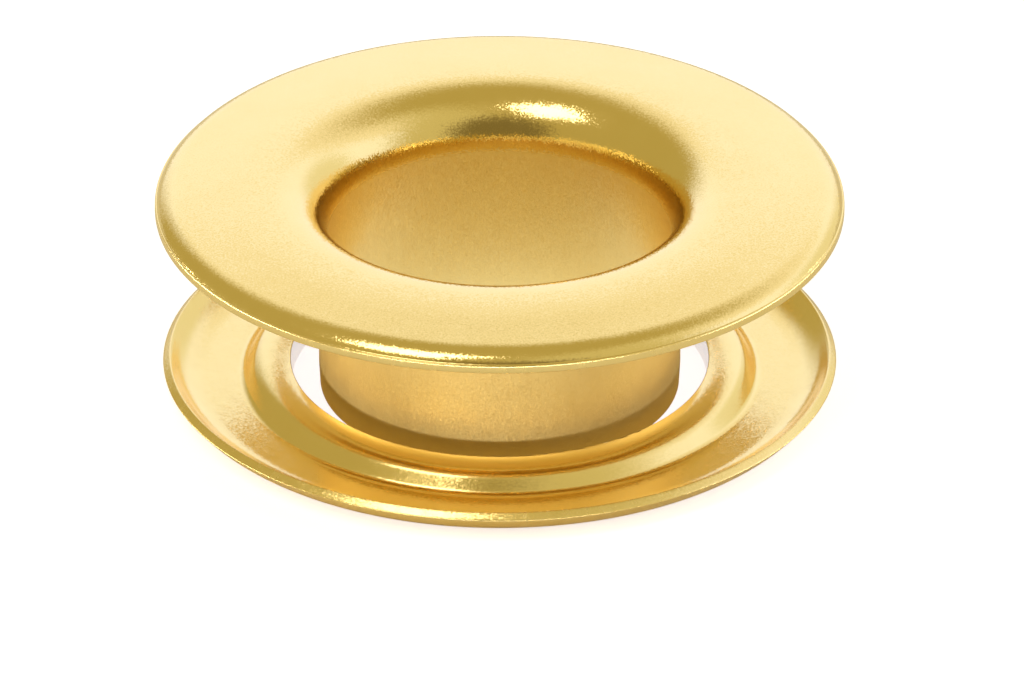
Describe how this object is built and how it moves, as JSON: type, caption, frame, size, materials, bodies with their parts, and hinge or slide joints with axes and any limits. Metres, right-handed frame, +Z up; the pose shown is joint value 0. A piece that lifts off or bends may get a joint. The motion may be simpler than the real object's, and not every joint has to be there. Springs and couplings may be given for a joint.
{
  "type": "tarpaulin eyelet",
  "caption": "Flanged brass eyelet with a drawn barrel, standing in its loose cupped washer, ready to be set in tarpaulin or other sheet.",
  "frame": {"origin": "on the axis, at the foot of the barrel, which is the level that both pieces stand on", "axes": "+Z up the barrel, from its foot to the flange"},
  "size_m": [0.024, 0.024, 0.0078],
  "materials": {
    "brass": "satin, bright, with a fine orange-peel grain from pressing"
  },
  "bodies": {
    "root": {"eyelet": "brass", "washer": "brass"}
  },
  "joints": []
}
